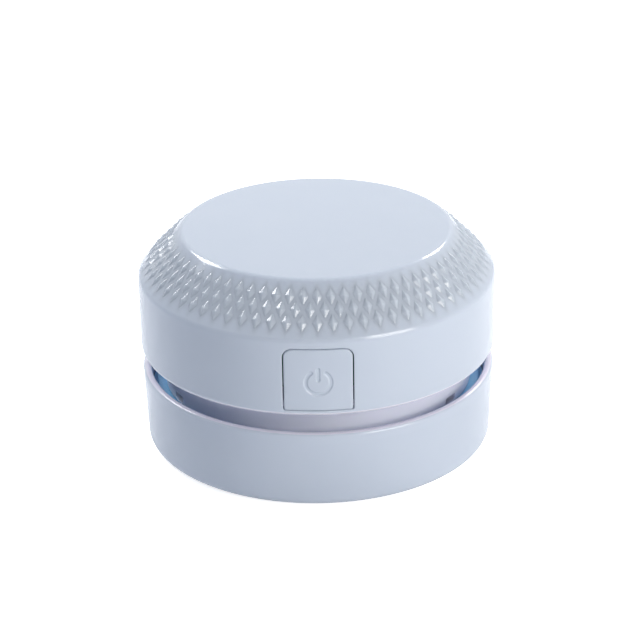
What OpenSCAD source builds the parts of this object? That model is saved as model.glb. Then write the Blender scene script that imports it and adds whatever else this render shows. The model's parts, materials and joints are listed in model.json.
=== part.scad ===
// Round desktop vacuum cleaner: a head with motor and fan, twisted onto a shallow dust cup.
// Millimetres, +Z up. The origin is on the tabletop, under the middle of the feet. The button faces -Y.

/* [Housing] */
// Outside diameter of the head
body_d = 85; // [83:0.5:92]
// Height of the dust cup, from its lower edge to its rim
cup_h = 18.7; // [18.2:0.1:22]
// Open gap between the cup's rim and the head
gap_h = 4.5; // [3.5:0.1:8]
// Height of the head's straight wall, up to the corner of the bevel
wall_h = 18.7; // [18:0.1:24]
// Height, and width, of the knurled 45 degree bevel
bevel_h = 10.5; // [10:0.1:12]
// Wall of the head's shell
shell_t = 1.8; // [1.4:0.1:2.2]
// Thickness of the head's flat top
top_t = 2; // [1.4:0.1:2.6]
// Rounding of the shell's lower lip
lip_r = 1.5; // [0.8:0.1:1.7]
// Rounding where the wall turns into the bevel
shoulder_r = 2; // [0.5:0.1:3]
// Rounding around the flat top
top_r = 2; // [0.5:0.1:3]

/* [Knurl] */
// Diamonds in each row
knurl_count = 72; // [48:1:80]
// Rows of diamonds
knurl_rows = 3; // [1:1:3]
// Distance down the bevel from the top corner to the first row's middle
knurl_start = 4.2; // [4:0.1:4.6]
// Distance down the bevel from row to row
knurl_pitch = 3.2; // [2.6:0.1:3.4]
// Width of a diamond
knurl_w = 2.3; // [1.6:0.1:2.4]
// Length of a diamond, down the bevel
knurl_l = 4.6; // [3:0.1:4.8]
// Height of a diamond above the bevel
knurl_h = 0.5; // [0.3:0.05:0.9]

/* [Button] */
// Width of the window for the button
window_w = 16; // [13:0.5:17]
// Height of the window above the lip's rounding
window_h = 15.3; // [13:0.1:15.6]
// Corner radius at the top of the window
window_r = 2.3; // [1:0.1:3]
// Gap between the button and its window
button_gap = 0.25; // [0.2:0.05:0.4]
// Thickness of the button's face
button_t = 1.6; // [1.2:0.1:1.9]
// How far the button is pressed
button_travel = 0.8; // [0.4:0.1:1]
// Outside diameter of the ring in the power symbol
symbol_d = 6.8; // [5:0.1:8]
// Width of the symbol's lines
symbol_w = 1.1; // [0.7:0.1:1.3]
// How deep the symbol is cut into the button's face
symbol_depth = 0.25; // [0.15:0.05:0.35]

/* [Dust cup] */
// How much smaller the cup's rim is than the head, in radius
rim_inset = 0.2; // [0:0.1:0.6]
// How much the cup narrows from rim to foot, in radius
cup_draft = 0.6; // [0:0.1:1]
// Wall of the cup above its ledge
cup_t = 2; // [1.6:0.1:2.2]
// Rounding of the cup's lower edge
cup_r = 1.8; // [0.8:0.1:2.2]
// Thickness of the cup's floor
floor_t = 1.6; // [1.2:0.1:2]
// Depth of the hollow under the floor
under_h = 1.8; // [1.7:0.1:2.4]
// Width of the foot ring around that hollow, to the cup's side
foot_ring_w = 5.7; // [5.2:0.1:7]
// Bore of the suction duct
duct_d = 18; // [15:0.5:20]
// Height of the duct above the floor
duct_h = 3.8; // [3:0.1:4.6]
// Height of the feet below the cup
foot_h = 0.8; // [0.6:0.1:1.5]
// Tufts in each of the brush's four strips
tuft_count = 10; // [6:1:12]

/* [Twist lock] */
// Depth of the waist, from the head's side to the neck
neck_inset = 5.5; // [5:0.1:6]
// Height of the locking collar
collar_h = 2.8; // [2.8:0.1:3.4]
// Rise of the locking thread in one full turn
thread_lead = 24; // [18:1:26]
// Thickness of the thread's ribs and lugs
thread_t = 0.9; // [0.7:0.05:1]
// Thickness of the seal ring
seal_t = 1; // [0.8:0.1:1.4]

/* [Fan and motor] */
// Diameter of the fan
fan_d = 49; // [40:0.5:50]
// Height of the fan
fan_h = 5.5; // [4.5:0.1:5.6]
// Blades of the fan
blade_count = 11; // [7:1:13]
// Diameter of the motor's can
motor_d = 20.4; // [19:0.2:21]
// Width of the can across its flats
motor_flat = 15.4; // [14.6:0.2:16]
// Height of the can
motor_h = 18.5; // [17.5:0.1:18.8]
// Height of the motor's end cap
end_cap_h = 3.5; // [3:0.1:4]
// Diameter of the motor's shaft
shaft_d = 2; // [1.5:0.1:2.3]

/* [Battery and boards] */
// Battery width, standing up from the deck
battery_w = 18; // [14:0.5:18.5]
// Battery length
battery_l = 32; // [26:0.5:32]
// Battery thickness, out from the motor
battery_h = 9; // [6:0.5:11]
// Thickness of the circuit boards
board_t = 1.2; // [0.8:0.1:1.6]
// Width of the charging socket
socket_w = 8.9; // [7.5:0.1:9.4]
// Height of the charging socket
socket_h = 3.2; // [2.6:0.1:3.4]

/* [Fits] */
// Gap between pieces that move past each other
move_gap = 0.3; // [0.2:0.05:0.4]
// Gap between pieces that are fixed side by side
seat_gap = 0.1; // [0.05:0.05:0.2]
// Gap around a shaft or pin that turns or slides in its bore
run_gap = 0.05; // [0.02:0.01:0.1]

/* [Hidden] */
$fn = 96;

// Heights, from the tabletop up
cup_z = foot_h;
floor_z = cup_z + under_h;
floor_top = floor_z + floor_t;
rim_z = cup_z + cup_h;
lip_z = rim_z + gap_h;
corner_z = lip_z + wall_h;
top_z = corner_z + bevel_h;
inner_top_z = top_z - top_t;

// Radii of the housing
body_r = body_d / 2;
shell_in_r = body_r - shell_t;
neck_r = body_r - neck_inset;
neck_t = 1.6;
neck_in_r = neck_r - neck_t;
rim_r = body_r - rim_inset;
cup_in_r = rim_r - cup_t;
ledge_w = 1;
foot_r = rim_r - cup_draft;

// Collar, plug and seal: the collar sits on the cup's ledge, the seal on the collar, the neck on the seal
collar_drop = 5.5;
ledge_z = rim_z - collar_drop - collar_h;
collar_top = ledge_z + collar_h;
seal_inset = 1.2;
seal_z = collar_top + move_gap / 2;
neck_step_z = seal_z + seal_t + move_gap / 2;
lug_w = 1.35;
plug_step = 1.4;
plug_r = neck_r - plug_step;
plug_in_r = plug_r - neck_t;
collar_in_r = plug_r + lug_w + move_gap;
rib_arc = 27;
lug_arc = 20;
lug_count = 3;
lug_middle = -33;
rib_low_z = ledge_z + seat_gap;
lug_z = rib_low_z - move_gap - thread_t;
plug_edge = 0.2;
plug_z = lug_z - plug_edge;

// Deck: the floor of the head, which closes the shell and carries everything in it
deck_t = 2;
deck_lift = 0.4;
deck_z = lip_z + deck_lift;
deck_top = deck_z + deck_t;
deck_r = shell_in_r - move_gap;

// Fan chamber under the deck
shroud_t = 1.2;
fan_top_gap = 0.6;
fan_top = deck_z - fan_top_gap;
fan_z = fan_top - fan_h;
fan_low_gap = 1.1;
shroud_top = fan_z - fan_low_gap;
shroud_z = shroud_top - shroud_t;
fan_plate_t = 1.2;
hub_r = 4;
blade_t = 0.9;
eye_r = 13;
shroud_r = plug_in_r - seat_gap;
post_r = 2.5;
post_inset = 4.9;
post_at = neck_in_r - post_inset;

// Filter under the shroud
filter_frame_h = 4.2;
filter_z = shroud_z - seat_gap - filter_frame_h;
filter_bar_t = 1.2;
filter_ring_w = 2.2;

// Bosses and screws that hold shell, deck and shroud together
boss_r = 3;
boss_inset = 2.4;
boss_at = neck_in_r - boss_inset;
screw_r = 1;
screw_head_r = 1.9;
screw_head_h = 1.2;
screw_grip = 6;

// Motor, on the deck
motor_wall = 0.6;
motor_z = deck_top;
motor_top = motor_z + motor_h;
cap_top = motor_top + end_cap_h;
boss_h = 1.5;
magnet_t = 1.9;
armature_z = motor_z + 4.5;
armature_h = 8.6;
damper_t = 2.2;
damper_h = 5;
shaft_r = shaft_d / 2;
bearing_r = shaft_r + run_gap;
air_gap = 0.4;
armature_r = min(motor_d / 2 - motor_wall - seat_gap - magnet_t, motor_flat / 2 - motor_wall) - air_gap;
commutator_r = 2.6;

// How far inside the shell the cuts for the button and the socket reach
cut_in = 3;

// Button, its guide and its switch, front to back
button_z = lip_z + lip_r + window_h / 2;
flange_r = shell_in_r - move_gap;
flange_t = 0.9;
flange_w = 1;
flange_low_z = deck_top + 0.6;
stem_r = 2;
guide_inset = 3.2;
guide_y = -(shell_in_r - guide_inset);
guide_t = 1.5;
guide_w = 12;
stem_l = 5;
stem_end_y = -(shell_in_r - stem_l);
plunger_l = 1.4;
plunger_r = 1.7;
switch_w = 6.2;
switch_y = stem_end_y + button_travel;
switch_d = 3.4;
board_y = switch_y + switch_d;
board_w = 26;
board_h = 15;
board_slot_w = 2;

// Charging socket and its board, at the back
socket_l = 7.4;
socket_gap = 0.5;
socket_y = shell_in_r - socket_gap;
charge_board_w = 18;
charge_board_l = 17;
charge_board_z = deck_top + 1;
charge_board_y = socket_y - 0.8;
socket_z = charge_board_z + board_t + socket_h / 2;
charge_post_r = 2;
charge_post_x = 6.3;
charge_post_y = charge_board_y - charge_board_l + 3;

// Battery tray, to the right of the motor. The battery stands on edge in it.
tray_t = 1;
tray_rise = 0.6;
motor_ring_t = 1.4;
motor_ring_r = motor_d / 2 + damper_t + seat_gap + motor_ring_t;
tray_x = motor_ring_r + move_gap;
tray_ear_r = 2.2;
tray_ear_x = tray_x + tray_ear_r;
tray_ear_y = battery_l / 2 + tray_t + tray_ear_r;

// Duct, brush and feet, under the cup
duct_r = duct_d / 2;
duct_t = 1.2;
duct_flange_t = 1.3;
duct_flange_w = 6;
duct_flange_r = duct_r + duct_t + duct_flange_w;
duct_screw_inset = 2.8;
duct_screw_at = duct_flange_r - duct_screw_inset;
brush_gap = 3.6;
brush_at = duct_flange_r + brush_gap;
brush_w = 3;
brush_back_h = 1.6;
brush_slot_h = 0.8;
tuft_r = 0.5;
tuft_z = 0.35;
tuft_stagger = 0.8;
strip_count = 4;
strip_arc = 84;
foot_pad_w = 2.4;
foot_pad_sink = 0.4;
foot_arc = 26;

// How far a rib, post or tuft runs into what it is moulded onto
weld = 0.5;

// Wires
wire_r = 0.6;
wire_sides = 8;

// Outlet slots around the back of the neck
slot_w = 2.2;
slot_count = 19;
slot_step = 7;

// ---------- helpers ----------

// Points on an arc about [x, y], from angle a0 to a1
function arc(x, y, r, a0, a1, n = 6) =
    [for (i = [0:n]) let (a = a0 + (a1 - a0) * i / n) [x + r * cos(a), y + r * sin(a)]];

// A point at radius r, angle a and height z
function polar(r, a, z) = [r * cos(a), r * sin(a), z];

// A ring of rectangular section
module ring(r_in, r_out, z0, z1) {
    translate([0, 0, z0]) difference() {
        cylinder(r = r_out, h = z1 - z0);
        translate([0, 0, -1]) cylinder(r = r_in, h = z1 - z0 + 2);
    }
}

// A screw pointing up: its head's face is at z = 0, and its point at z = length
module screw(length) {
    difference() {
        union() {
            cylinder(r1 = screw_head_r, r2 = screw_r, h = screw_head_h);
            cylinder(r = screw_r, h = length);
        }
        for (a = [0, 90]) rotate(a) translate([-1.2, -0.2, -1]) cube([2.4, 0.4, 1.5]);
    }
}

// The hole for such a screw: a countersink and a bore
module screw_hole(length, bore_r) {
    translate([0, 0, -1]) cylinder(r = screw_head_r + seat_gap, h = 1);
    cylinder(r1 = screw_head_r + seat_gap, r2 = screw_r + seat_gap, h = screw_head_h);
    cylinder(r = bore_r, h = length);
}

// A piece of helical rib: from radius r0 to r1, its low face at z at angle 0 and rising with the thread
module helix_rib(r0, r1, z, from, span, steps) {
    corner = [[r0, 0], [r1, 0], [r1, thread_t], [r0, thread_t]];
    points = [for (i = [0:steps], c = corner)
        let (a = from + span * i / steps) polar(c[0], a, z + c[1] + thread_lead * a / 360)];
    sides = [for (i = [0:steps - 1], k = [0:3], half = [0, 1])
        let (a = i * 4 + k, b = i * 4 + (k + 1) % 4) half == 0 ? [a, b, a + 4] : [b, b + 4, a + 4]];
    first = [[0, 2, 1], [0, 3, 2]];
    last = [for (f = first) [for (k = [2:-1:0]) f[k] + steps * 4]];
    polyhedron(points, concat(sides, first, last));
}

// A wire along a list of points
function unit(v) = v / norm(v);
module wire(route) {
    n = len(route);
    points = [for (i = [0:n - 1])
        let (t = unit(route[min(i + 1, n - 1)] - route[max(i - 1, 0)]),
             u = unit(cross(t, abs(t[2]) > 0.9 ? [1, 0, 0] : [0, 0, 1])), v = cross(t, u))
        for (k = [0:wire_sides - 1])
            let (a = 360 * k / wire_sides) route[i] + wire_r * (u * cos(a) + v * sin(a))];
    sides = [for (i = [0:n - 2], k = [0:wire_sides - 1], half = [0, 1])
        let (a = i * wire_sides + k, b = i * wire_sides + (k + 1) % wire_sides)
        half == 0 ? [a, b, a + wire_sides] : [b, b + wire_sides, a + wire_sides]];
    first = [for (k = [1:wire_sides - 2]) [0, k + 1, k]];
    last = [for (k = [1:wire_sides - 2]) [0, k, k + 1] + [1, 1, 1] * (n - 1) * wire_sides];
    polyhedron(points, concat(sides, first, last));
}

// ---------- dust cup ----------

module dust_cup() color("#C6D4E2") {
    rim_round = cup_t * 0.45;
    foot_in_r = foot_r - foot_ring_w;
    foot_bevel = 0.6;
    low_in_r = cup_in_r - ledge_w;
    inside_r = low_in_r - 0.3;
    cove = 1.5;
    difference() {
        rotate_extrude() polygon(concat(
            [[duct_r + duct_t + seat_gap, floor_z], [foot_in_r - foot_bevel, floor_z],
            [foot_in_r, floor_z - foot_bevel],
             [foot_in_r, cup_z]],
            arc(foot_r - cup_r, cup_z + cup_r, cup_r, -90, 0, 8),
            arc(rim_r - rim_round, rim_z - rim_round, rim_round, 0, 90, 5),
            arc(cup_in_r + rim_round, rim_z - rim_round, rim_round, 90, 180, 5),
            [[cup_in_r, ledge_z], [low_in_r, ledge_z], [inside_r, floor_top + cove],
             [inside_r - cove, floor_top], [duct_r + duct_t + seat_gap, floor_top]]));
        // Groove for the brush ring, pockets for the feet, holes for the duct's screws
        ring(brush_at - brush_w / 2 - seat_gap, brush_at + brush_w / 2 + seat_gap, floor_z - 1,
            floor_z + brush_slot_h);
        for (i = [0:3]) rotate(45 + 90 * i) foot_pad(seat_gap, cup_z - 1, cup_z + foot_pad_sink);
        for (i = [0:2]) rotate(120 * i + 30) translate([duct_screw_at, 0, floor_z - 1])
            cylinder(r = screw_r, h = floor_t + 2);
    }
}

module foot_pad(grow, z0, z1) {
    inset = 0.5;
    mid = foot_r - cup_r - foot_pad_w / 2 - inset;
    rotate(-foot_arc / 2) translate([0, 0, z0]) rotate_extrude(angle = foot_arc)
        translate([mid - foot_pad_w / 2 - grow, 0]) square([foot_pad_w + 2 * grow, z1 - z0]);
}

module foot_pads() color("#55606C") {
    for (i = [0:3]) rotate(45 + 90 * i) foot_pad(0, 0, cup_z + foot_pad_sink);
}

module lock_collar() color("#7FB4DA") {
    ring(collar_in_r, cup_in_r - seat_gap, ledge_z, collar_top);
    for (i = [0:lug_count - 1]) rotate(lug_middle - lug_arc / 2 + 360 / lug_count * i)
        helix_rib(plug_r + move_gap, collar_in_r + weld, rib_low_z, 0, rib_arc, 6);
}

module inlet_duct() color("#B9C8D8") {
    difference() {
        union() {
            ring(duct_r, duct_r + duct_t, floor_z - duct_flange_t, floor_top + duct_h);
            ring(duct_r, duct_flange_r, floor_z - duct_flange_t, floor_z);
        }
        for (i = [0:2]) rotate(120 * i + 30) translate([duct_screw_at, 0, floor_z - duct_flange_t])
            screw_hole(duct_flange_t + 1, screw_r + seat_gap);
    }
}

module duct_screws() color("#C9CCD0") {
    for (i = [0:2]) rotate(120 * i + 30) translate([duct_screw_at, 0, floor_z - duct_flange_t])
        screw(duct_flange_t + floor_t);
}

module brush_ring() color("#3E4A57") {
    back_z = floor_z + brush_slot_h - brush_back_h;
    for (k = [0:strip_count - 1]) rotate(360 / strip_count * k) {
        rotate(-strip_arc / 2) translate([0, 0, back_z]) rotate_extrude(angle = strip_arc)
            translate([brush_at - brush_w / 2, 0]) square([brush_w, brush_back_h]);
        for (i = [0:tuft_count - 1]) rotate(strip_arc * ((i + 0.5) / tuft_count - 0.5))
            translate([brush_at + tuft_stagger * (i % 2 * 2 - 1), 0, tuft_z])
                cylinder(r = tuft_r, h = back_z - tuft_z + weld);
    }
}

// ---------- seal ----------

module seal_ring() color("#7DB2DC") {
    ring(plug_r + move_gap, cup_in_r - seal_inset, seal_z, seal_z + seal_t);
}

// ---------- head: shell and frame ----------

// Outline of the shell's wall, from the lip to the flat top
module shell_section() {
    half = tan(22.5);
    in_corner = corner_z - shell_t * half;
    in_top_r = body_r - bevel_h - shell_t * sqrt(2) + top_t;
    polygon(concat(
        [[shell_in_r, lip_z]],
        arc(body_r - lip_r, lip_z + lip_r, lip_r, -90, 0),
        arc(body_r - shoulder_r, corner_z - shoulder_r * half, shoulder_r, 0, 45, 4),
        arc(body_r - bevel_h - top_r * half, top_z - top_r, top_r, 45, 90, 4),
        [[0, top_z], [0, inner_top_z], [in_top_r, inner_top_z], [shell_in_r, in_corner]]));
}

// Everything under the middle of the shell's wall
module under_shell() {
    side_r = body_r - shell_t / 2;
    top_z_mid = top_z - top_t / 2;
    slope = body_r + corner_z - shell_t / 2 * sqrt(2);
    rotate_extrude() polygon([[0, deck_top], [side_r, deck_top], [side_r, slope - side_r],
        [slope - top_z_mid, top_z_mid], [0, top_z_mid]]);
}

// Diamond pyramids on the bevel. Every second row is turned by half a diamond.
module knurl() {
    sink = 0.3; // how far the pyramids reach into the bevel
    grow = 1 + sink / knurl_h;
    step = 360 / knurl_count;
    out = sqrt(0.5);
    points = [for (row = [0:knurl_rows - 1], i = [0:knurl_count - 1])
        let (s = knurl_start + row * knurl_pitch, a = step * (i + row % 2 / 2),
             r = body_r - bevel_h + s * out, z = top_z - s * out,
             l = knurl_l / 2 * grow * out, w = atan(knurl_w / 2 * grow / r),
             rb = r - sink * out, zb = z - sink * out)
        for (p = [polar(rb - l, a, zb + l), polar(rb, a - w, zb), polar(rb + l, a, zb - l),
                  polar(rb, a + w, zb), polar(r + knurl_h * out, a, z + knurl_h * out)]) p];
    faces = [for (k = [0:knurl_rows * knurl_count - 1], f = [[0, 1, 2], [0, 2, 3], [1, 0, 4], [2, 1, 4],
        [3, 2, 4], [0, 3, 4]]) [for (v = f) v + 5 * k]];
    polyhedron(points, faces);
}

// The window for the button, or the button's own outline inside it, seen from the front
module window_outline(gap, low_gap) {
    w = window_w / 2 - gap;
    low = lip_z + lip_r + low_gap;
    high = lip_z + lip_r + window_h - gap;
    r = window_r - gap;
    polygon(concat([[-w, low], [w, low]], arc(w - r, high - r, r, 0, 90), arc(r - w, high - r, r, 90, 180)));
}

// Sends an outline drawn in X and Z through from y0 to y1
module through(y0, y1) {
    translate([0, y1, 0]) rotate([90, 0, 0]) linear_extrude(height = y1 - y0) children();
}

// A slot with round ends, along X, centred at z
module socket_outline(w, h, z) {
    translate([-(w - h) / 2, z]) circle(r = h / 2);
    translate([(w - h) / 2, z]) circle(r = h / 2);
    translate([-(w - h) / 2, z - h / 2]) square([w - h, h]);
}

module top_shell() color("#C6D4E2") {
    difference() {
        union() {
            rotate_extrude() shell_section();
            knurl();
            intersection() {
                under_shell();
                for (i = [0:3]) rotate(45 + 90 * i) translate([boss_at, 0, deck_top])
                    cylinder(r = boss_r, h = top_z - deck_top);
            }
        }
        through(-body_r - 1, -shell_in_r + cut_in) window_outline(0, 0);
        through(shell_in_r - cut_in, body_r + 1)
            socket_outline(socket_w + 2 * socket_gap, socket_h + 2 * socket_gap, socket_z);
        for (i = [0:3]) rotate(45 + 90 * i) translate([boss_at, 0, deck_top - 1])
            cylinder(r = screw_r, h = screw_grip + 2);
    }
}

module neck_frame() color("#C9CBDD") {
    pocket_w = window_w / 2 + flange_w + 1;
    pocket_h = 5;
    step_t = 1.2;
    upright_h = board_h * 0.6;
    upright_t = 1.2;
    slot_rise = 2.6;
    slot_top = 1.4;
    lug_window_w = 4.2;
    lug_window_h = 1.7;
    difference() {
        union() {
            // Deck, drum, plug and the wall around the motor
            translate([0, 0, deck_z]) cylinder(r = deck_r, h = deck_t);
            ring(neck_in_r, neck_r, neck_step_z, deck_z + weld);
            ring(plug_in_r, neck_r - weld, neck_step_z, neck_step_z + step_t);
            ring(plug_in_r, plug_r, plug_z, neck_step_z + weld);
            ring(motor_ring_r - motor_ring_t, motor_ring_r, deck_top - weld, deck_top + damper_h);
            // Lugs of the twist lock
            for (i = [0:lug_count - 1]) rotate(lug_middle - lug_arc / 2 + 360 / lug_count * i)
                helix_rib(plug_r - weld, plug_r + lug_w, lug_z, 2, lug_arc, 5);
            // Posts for the shroud and the charging board
            for (i = [0:2]) rotate(120 * i) translate([post_at, 0, shroud_top])
                cylinder(r = post_r, h = deck_z - shroud_top + weld);
            for (s = [-1, 1]) translate([s * charge_post_x, charge_post_y, deck_top - weld])
                cylinder(r = charge_post_r, h = charge_board_z - deck_top + weld);
            // Slotted uprights for the control board
            for (s = [-1, 1])
                translate([s * board_w / 2 - board_slot_w / 2, board_y - upright_t, deck_top - weld])
                    cube([board_slot_w, board_t + 2 * upright_t, upright_h + weld]);
        }
        translate([0, 0, deck_z - 1]) cylinder(r = shaft_r + 2.2, h = deck_t + 2);
        // Room for the button's face behind the lip
        translate([-pocket_w, -deck_r - 1, lip_z + lip_r - deck_lift])
            cube([2 * pocket_w, deck_r + guide_y, pocket_h]);
        // The board's slot, outlet slots at the back, windows over the lugs
        translate([-board_w / 2 - seat_gap, board_y - seat_gap, deck_top])
            cube([board_w + 2 * seat_gap, board_t + 2 * seat_gap, board_h]);
        for (i = [0:slot_count - 1]) rotate(90 + slot_step * (i - (slot_count - 1) / 2))
            translate([neck_in_r - 1, -slot_w / 2, neck_step_z + slot_rise])
                cube([neck_t + 2, slot_w, deck_z - neck_step_z - slot_rise - slot_top]);
        for (i = [0, 2]) rotate(lug_middle + 360 / lug_count * i)
            translate([plug_in_r - 1, -lug_window_w / 2, neck_step_z + step_t / 2])
                cube([neck_t + 4, lug_window_w, lug_window_h]);
        // Screw holes
        for (i = [0:3]) rotate(45 + 90 * i) translate([boss_at, 0, deck_z])
            screw_hole(deck_t + 1, screw_r + seat_gap);
        for (i = [0:2]) rotate(120 * i) translate([post_at, 0, shroud_top - 1]) cylinder(r = screw_r, h = 5);
        for (s = [-1, 1]) {
            translate([s * charge_post_x, charge_post_y, deck_z - 1]) cylinder(r = screw_r, h = 5);
            translate([tray_ear_x, s * tray_ear_y, deck_z - 1]) cylinder(r = screw_r, h = 5);
        }
    }
}

module housing_screws() color("#C9CCD0") {
    for (i = [0:3]) rotate(45 + 90 * i) translate([boss_at, 0, deck_z]) screw(deck_t + screw_grip);
}

// ---------- fan chamber and filter ----------

module fan_shroud() color("#D5DAE0") {
    difference() {
        union() {
            translate([0, 0, shroud_z]) cylinder(r = shroud_r, h = shroud_t);
            ring(eye_r, eye_r + 1.2, shroud_z - 0.8, shroud_top);
        }
        translate([0, 0, shroud_z - 2]) cylinder(r = eye_r, h = shroud_t + 3);
        for (i = [0:2]) rotate(120 * i) translate([post_at, 0, shroud_z])
            screw_hole(shroud_t + 1, screw_r + seat_gap);
    }
}

module shroud_screws() color("#C9CCD0") {
    for (i = [0:2]) rotate(120 * i) translate([post_at, 0, shroud_z]) screw(shroud_t + 3);
}

module filter_frame() color("#D5DAE0") {
    r = plug_in_r - 2 * seat_gap;
    ring(r - filter_ring_w, r, filter_z, filter_z + filter_frame_h);
    intersection() {
        translate([0, 0, filter_z]) cylinder(r = r - 0.5, h = filter_bar_t);
        for (a = [0, 60, 120]) rotate(a) translate([-r, -0.8, filter_z]) cube([2 * r, 1.6, filter_bar_t]);
    }
    ring(7, 9, filter_z, filter_z + filter_bar_t);
}

module filter_media() color("#F2F3F0") {
    r = plug_in_r - 2 * seat_gap - filter_ring_w - seat_gap;
    translate([0, 0, filter_z + filter_bar_t]) cylinder(r = r, h = filter_frame_h - filter_bar_t - 1.2);
}

module impeller() color("#E4E8EC") {
    r = fan_d / 2;
    blade_in_r = 9;
    blade_start = 2;
    bend = r * 0.62; // radius of a blade's curve
    tip_inset = 0.3;
    difference() {
        union() {
            translate([0, 0, fan_top - fan_plate_t]) cylinder(r = r, h = fan_plate_t);
            translate([0, 0, fan_z]) cylinder(r = hub_r, h = fan_h);
            for (i = [0:blade_count - 1]) rotate(360 / blade_count * i)
                translate([0, 0, fan_z]) linear_extrude(height = fan_h - fan_plate_t / 2) intersection() {
                    translate([blade_in_r + blade_start, -bend + 1]) difference() {
                        circle(r = bend);
                        circle(r = bend - blade_t);
                    }
                    difference() {
                        circle(r = r - tip_inset);
                        circle(r = blade_in_r);
                    }
                    translate([0, -r]) square([r, r + bend]);
                }
        }
        translate([0, 0, fan_z - 1]) cylinder(r = shaft_r, h = fan_h + 2);
    }
}

// ---------- motor ----------

module motor_section(grow) {
    intersection() {
        circle(r = motor_d / 2 + grow);
        square([motor_d + 2 * grow + 2, motor_flat + 2 * grow], center = true);
    }
}

module motor_can() color("#B8BCC2") {
    difference() {
        union() {
            translate([0, 0, motor_z]) linear_extrude(height = motor_h) motor_section(0);
            translate([0, 0, motor_z - boss_h]) cylinder(r = shaft_r + 2, h = boss_h + 0.5);
        }
        translate([0, 0, motor_z + 0.8]) linear_extrude(height = motor_h) motor_section(-motor_wall);
        translate([0, 0, motor_z - boss_h - 1]) cylinder(r = bearing_r, h = boss_h + 3);
    }
}

module motor_magnets() color("#4A4A4E") {
    out = motor_d / 2 - motor_wall - seat_gap;
    translate([0, 0, armature_z - 1]) linear_extrude(height = armature_h + 2) intersection() {
        difference() {
            circle(r = out);
            circle(r = out - magnet_t);
        }
        square([motor_d, motor_flat - 5], center = true);
    }
}

module motor_end_cap() color("#F0F0EC") {
    difference() {
        union() {
            translate([0, 0, motor_top]) linear_extrude(height = end_cap_h) motor_section(0);
            translate([0, 0, motor_top - 1.5])
                linear_extrude(height = 2) motor_section(-motor_wall - seat_gap);
        }
        translate([0, 0, motor_top - 2]) cylinder(r = bearing_r, h = end_cap_h);
        for (s = [-1, 1])
            translate([-1.3, s * (motor_flat / 2 - 1) - 2, motor_top + 1.5]) cube([2.6, 4, 0.7]);
    }
}

module motor_terminals() color("#C08A50") {
    for (s = [0, 180])
        rotate(s) translate([-1.2, motor_flat / 2 - 2.9, motor_top + 1.6]) cube([2.4, 5.2, 0.5]);
}

module motor_damper() color("#3A3F45") {
    translate([0, 0, motor_z]) linear_extrude(height = damper_h) difference() {
        circle(r = motor_d / 2 + damper_t);
        motor_section(seat_gap);
    }
}

module motor_pad() color("#4B5056") {
    translate([0, 0, cap_top]) cylinder(r = 6, h = inner_top_z - cap_top);
}

module motor_shaft() color("#D8DADD") {
    translate([0, 0, fan_z]) cylinder(r = shaft_r, h = motor_top + 0.8 - fan_z);
}

module armature_core() color("#8F9398") {
    difference() {
        union() {
            translate([0, 0, armature_z]) linear_extrude(height = armature_h) union() {
                difference() {
                    circle(r = armature_r);
                    circle(r = armature_r - 1.3);
                    for (i = [0:2]) rotate(120 * i + 60) translate([0, -0.9]) square([armature_r + 1, 1.8]);
                }
                for (i = [0:2]) rotate(120 * i) translate([0, -1.2]) square([armature_r - 0.6, 2.4]);
                circle(r = 2.4);
            }
            translate([0, 0, armature_z + armature_h]) cylinder(r = commutator_r, h = 3);
        }
        translate([0, 0, armature_z - 1]) cylinder(r = shaft_r, h = armature_h + 6);
    }
}

module armature_coils() color("#B5652B") {
    reach = armature_r - 1.3 - seat_gap;
    for (i = [0:2]) rotate(120 * i) for (s = [-1, 1])
        translate([2.8, s * (1.2 + seat_gap + 0.55) - 0.55, armature_z + 0.2])
            cube([reach - 3.3, 1.1, armature_h - 0.4]);
}

// ---------- battery ----------

module tray_ears(r, z0, h) {
    for (s = [-1, 1]) translate([tray_ear_x, s * tray_ear_y, z0]) cylinder(r = r, h = h);
}

module battery_tray() color("#D5DAE0") {
    l = battery_l + 2 * tray_t + 2 * seat_gap;
    w = battery_h + 2 * tray_t + 2 * seat_gap;
    difference() {
        union() {
            translate([tray_x, -l / 2, deck_top]) cube([w, l, tray_t + battery_w * tray_rise]);
            tray_ears(tray_ear_r, deck_top, tray_t);
            for (s = [-1, 1]) translate([tray_x, s * tray_ear_y - (s + 1) / 2 * tray_ear_r, deck_top])
                cube([2 * tray_ear_r, tray_ear_r, tray_t]);
        }
        translate([tray_x + tray_t, -l / 2 + tray_t, deck_top + tray_t])
            cube([battery_h + 2 * seat_gap, battery_l + 2 * seat_gap, battery_w]);
        tray_ears(screw_r + seat_gap, deck_top - 1, tray_t + 2);
    }
}

module battery_cell() color("#9FB3C4") {
    x0 = tray_x + tray_t + seat_gap;
    round_r = 1.5;
    translate([x0, battery_l / 2, deck_top + tray_t]) rotate([90, 0, 0])
    linear_extrude(height = battery_l) union() {
        translate([round_r, 0]) square([battery_h - 2 * round_r, battery_w]);
        translate([0, round_r]) square([battery_h, battery_w - 2 * round_r]);
        for (x = [round_r, battery_h - round_r], y = [round_r, battery_w - round_r]) translate([x, y])
            circle(r = round_r);
    }
}

// Pan head screw pointing down, its seat at z = 0
module pan_screw(length) {
    difference() {
        union() {
            cylinder(r = screw_head_r - 0.1, h = 1);
            translate([0, 0, -length]) cylinder(r = screw_r, h = length + 0.5);
        }
        for (a = [0, 90]) rotate(a) translate([-1.2, -0.2, 0.5]) cube([2.4, 0.4, 1]);
    }
}

module tray_screws() color("#C9CCD0") {
    for (s = [-1, 1]) translate([tray_ear_x, s * tray_ear_y, deck_top + tray_t]) pan_screw(tray_t + 1.6);
}

// ---------- boards ----------

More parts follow.
